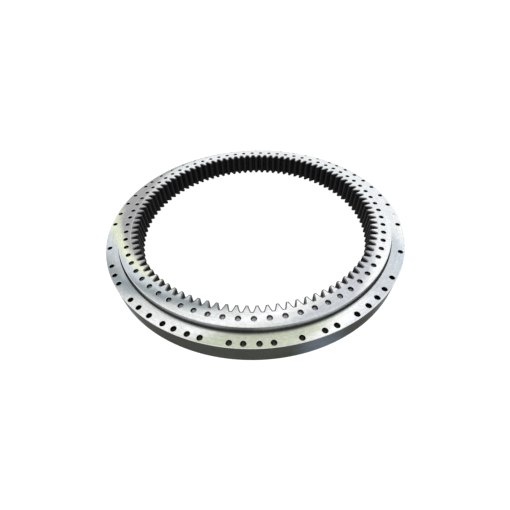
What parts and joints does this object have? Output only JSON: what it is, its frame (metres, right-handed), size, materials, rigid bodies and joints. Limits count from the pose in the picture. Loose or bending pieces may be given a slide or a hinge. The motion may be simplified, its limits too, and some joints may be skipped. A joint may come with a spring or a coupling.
{
  "type": "slewing ring bearing",
  "caption": "Large four-point contact ball slewing ring with an internal gear, through-bolt circles in both rings, rubber seals and a filling plug.",
  "frame": {"origin": "on the bearing's axis, in the plane of the outer ring's bottom face", "axes": "+Z along the bearing's axis, towards the inner ring's proud face; +X lies 1.65 degrees clockwise of an inner bolt hole, seen from above"},
  "size_m": [1.434, 1.434, 0.118],
  "materials": {
    "turned_steel": "bright turned and ground faces, fine concentric turning lines, thin oil film",
    "bearing_steel": "ground and polished",
    "plated_steel": "yellow zinc plate",
    "spacer_plastic": "moulded natural nylon",
    "seal_rubber": "matt black nitrile"
  },
  "bodies": {
    "outer_ring": {"outer_ring": "turned_steel", "upper_seal": "seal_rubber", "filling_plug": "turned_steel", "taper_pin": "bearing_steel", "grease_nipple_1": "plated_steel", "grease_nipple_2": "plated_steel", "grease_nipple_3": "plated_steel"},
    "inner_ring": {"inner_ring": "turned_steel", "lower_seal": "seal_rubber"},
    "ball_row": {"ball_set_01": "bearing_steel", "ball_set_02": "bearing_steel", "ball_set_03": "bearing_steel", "ball_set_04": "bearing_steel", "ball_set_05": "bearing_steel", "ball_set_06": "bearing_steel", "ball_set_07": "bearing_steel", "ball_set_08": "bearing_steel", "ball_set_09": "bearing_steel", "ball_set_10": "bearing_steel", "ball_set_11": "bearing_steel", "ball_set_12": "bearing_steel", "ball_set_13": "bearing_steel", "ball_set_14": "bearing_steel", "ball_set_15": "bearing_steel", "ball_set_16": "bearing_steel", "ball_set_17": "bearing_steel", "ball_set_18": "bearing_steel", "ball_set_19": "bearing_steel", "ball_set_20": "bearing_steel", "ball_set_21": "bearing_steel", "ball_set_22": "bearing_steel", "ball_set_23": "bearing_steel", "ball_set_24": "bearing_steel"}
  },
  "joints": [
    {"name": "inner_ring_turn", "type": "hinge", "parent": "outer_ring", "child": "inner_ring", "pos_m": [0, 0, 0.048], "axis": [0, 0, 1], "continuous": true},
    {"name": "ball_row_turn", "type": "hinge", "parent": "outer_ring", "child": "ball_row", "pos_m": [0, 0, 0.048], "axis": [0, 0, 1], "continuous": true}
  ],
  "couplings": [
    {"joint": "ball_row_turn", "follows": "inner_ring_turn", "ratio": 0.4914}
  ]
}
